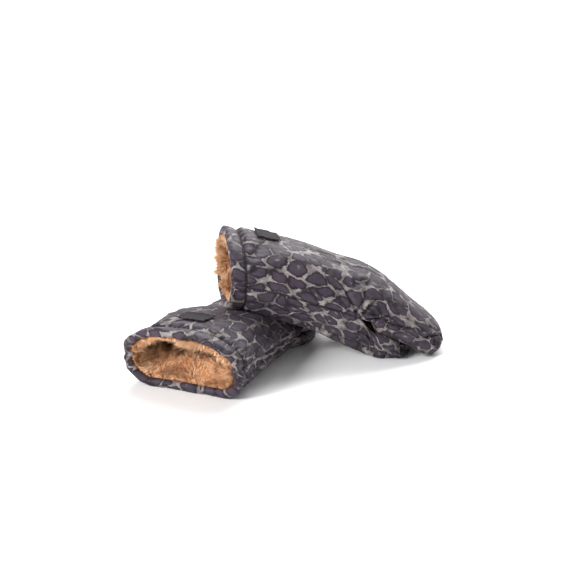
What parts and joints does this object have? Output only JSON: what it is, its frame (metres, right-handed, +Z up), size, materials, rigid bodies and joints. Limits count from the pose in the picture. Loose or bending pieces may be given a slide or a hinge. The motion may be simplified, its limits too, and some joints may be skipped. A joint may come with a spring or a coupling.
{
  "type": "hand warmer muff",
  "caption": "Pair of padded handlebar hand warmer muffs: printed cloth tubes with plush lining, a hemmed cuff and a long press-stud flap, one muff leaning over the other.",
  "frame": {"origin": "centre of the lower muff's flat underside, on the floor, 130 mm in from the cuff's mid height", "axes": "+Y along the lower muff from its hand opening to its flap end, +Z up from the floor, +X towards the muff's right side; the upper muff points 30 degrees from +X towards +Y"},
  "size_m": [0.3094, 0.336, 0.1511],
  "materials": {
    "printed_cloth": "satin",
    "plush": "matte",
    "wadding": "matte",
    "label_cloth": "matte",
    "thread": "satin",
    "stud_metal": "satin"
  },
  "bodies": {
    "lower_muff": {"lower_cuff_hem": "printed_cloth", "lower_hem_stitching": "thread", "lower_top_shell": "printed_cloth", "lower_bottom_shell": "printed_cloth", "lower_top_wadding": "wadding", "lower_bottom_wadding": "wadding", "lower_top_lining": "plush", "lower_bottom_lining": "plush", "lower_label": "label_cloth", "lower_label_stitching": "thread", "lower_seam_thread": "thread", "lower_bottom_facing": "printed_cloth", "lower_stud_balls": "stud_metal"},
    "lower_flap": {"lower_flap_shell": "printed_cloth", "lower_flap_wadding": "wadding", "lower_flap_lining": "plush", "lower_flap_facing": "printed_cloth", "lower_stud_sockets": "stud_metal"},
    "upper_muff": {"upper_cuff_hem": "printed_cloth", "upper_hem_stitching": "thread", "upper_top_shell": "printed_cloth", "upper_bottom_shell": "printed_cloth", "upper_top_wadding": "wadding", "upper_bottom_wadding": "wadding", "upper_top_lining": "plush", "upper_bottom_lining": "plush", "upper_label": "label_cloth", "upper_label_stitching": "thread", "upper_seam_thread": "thread", "upper_bottom_facing": "printed_cloth", "upper_stud_balls": "stud_metal"},
    "upper_flap": {"upper_flap_shell": "printed_cloth", "upper_flap_wadding": "wadding", "upper_flap_lining": "plush", "upper_flap_facing": "printed_cloth", "upper_stud_sockets": "stud_metal"}
  },
  "joints": [
    {"name": "upper_muff_lift", "type": "slide", "parent": "lower_muff", "child": "upper_muff", "axis": [0, 0, 1], "range_m": [0, 0.2]},
    {"name": "lower_flap_fold", "type": "hinge", "parent": "lower_muff", "child": "lower_flap", "pos_m": [0, 0.046, 0.045], "axis": [1, 0, 0], "range_deg": [0, 3.4]},
    {"name": "upper_flap_fold", "type": "hinge", "parent": "upper_muff", "child": "upper_flap", "pos_m": [0.13604, 0.1027, 0.099], "axis": [0.5, -0.866, 0], "range_deg": [0, 60]}
  ]
}
